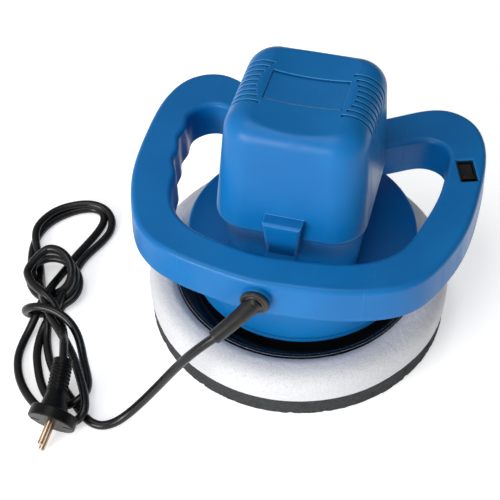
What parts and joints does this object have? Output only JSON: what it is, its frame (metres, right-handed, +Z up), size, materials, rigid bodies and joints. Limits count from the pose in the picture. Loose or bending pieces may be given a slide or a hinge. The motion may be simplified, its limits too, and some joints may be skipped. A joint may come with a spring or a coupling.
{
  "type": "rotary polisher",
  "caption": "Corded rotary polisher: motor tower with looped two-hand handle, rocker switch, eccentric drive, foam pad, cord and two-pin plug.",
  "frame": {"origin": "motor axis at the foam pad's working face, on the surface the polisher stands on", "axes": "+Z up along the motor axis, -Y towards the cord outlet, +X towards the rocker switch"},
  "size_m": [0.3741, 0.3222, 0.211],
  "materials": {
    "blue_housing": "satin",
    "black_plastic": "gloss",
    "dark_plastic": "satin",
    "rubber_black": "satin",
    "cord_black": "satin",
    "white_foam": "matt",
    "grey_foam": "matt",
    "steel": "brushed",
    "core_steel": "matt",
    "zinc": "satin",
    "copper": "enamelled",
    "brass": "satin",
    "carbon": "matt",
    "fan_plastic": "satin",
    "pin_metal": "satin",
    "label_blue": "satin"
  },
  "bodies": {
    "housing": {"upper_housing": "blue_housing", "handle_front": "blue_housing", "handle_right": "blue_housing", "handle_left": "blue_housing", "handle_cover_rear": "blue_housing", "handle_cover_front": "blue_housing", "handle_cover_right": "blue_housing", "handle_cover_left": "blue_housing", "handle_screws": "steel", "label_plate": "label_blue", "base_housing": "blue_housing", "neck": "blue_housing", "bearing_plate": "zinc", "bearing_plate_screws": "steel", "lower_bearing_outer_ring": "steel", "upper_bearing_outer_ring": "steel", "motor_frame_plate": "steel", "stator_core": "core_steel", "upper_motor_bracket": "dark_plastic", "motor_through_screws": "steel", "suppression_capacitor": "dark_plastic", "field_coil_left": "copper", "field_coil_right": "copper", "brush_holder_left": "brass", "brush_holder_right": "brass", "carbon_brush_left": "carbon", "carbon_brush_right": "carbon", "brush_spring_left": "steel", "brush_spring_right": "steel", "switch_body": "dark_plastic", "cord_grommet": "rubber_black", "cord_clamp": "dark_plastic", "cord_clamp_screws": "steel", "cord_lead": "cord_black", "cord_hank": "cord_black", "cord_tail": "cord_black", "plug_body": "rubber_black", "plug_pins": "pin_metal"},
    "rotor": {"motor_shaft": "steel", "armature_core": "core_steel", "armature_winding": "copper", "commutator": "brass", "cooling_fan": "fan_plastic", "eccentric_hub": "zinc", "hub_grub_screw": "steel", "counterweight": "core_steel", "pad_washer": "steel", "pad_screw": "steel", "lower_bearing_inner_ring": "steel", "lower_bearing_balls": "steel", "upper_bearing_inner_ring": "steel", "upper_bearing_balls": "steel", "pad_bearing_inner_ring": "steel", "pad_bearing_balls": "steel"},
    "pad": {"pad_bearing_outer_ring": "steel", "pad_circlip": "steel", "backing_plate": "black_plastic", "white_foam_pad": "white_foam", "grey_foam_face": "grey_foam"},
    "rocker": {"rocker": "dark_plastic"}
  },
  "joints": [
    {"name": "motor_spin", "type": "hinge", "parent": "housing", "child": "rotor", "pos_m": [0, 0, 0.1], "axis": [0, 0, 1], "continuous": true},
    {"name": "pad_spin", "type": "hinge", "parent": "rotor", "child": "pad", "pos_m": [-0.00247, -0.00247, 0.044], "axis": [0, 0, 1], "continuous": true},
    {"name": "rocker_tilt", "type": "hinge", "parent": "housing", "child": "rocker", "pos_m": [0.116, 0.0335, 0.1275], "axis": [0.9483, 0.3173, 0], "range_deg": [0, 14]}
  ]
}
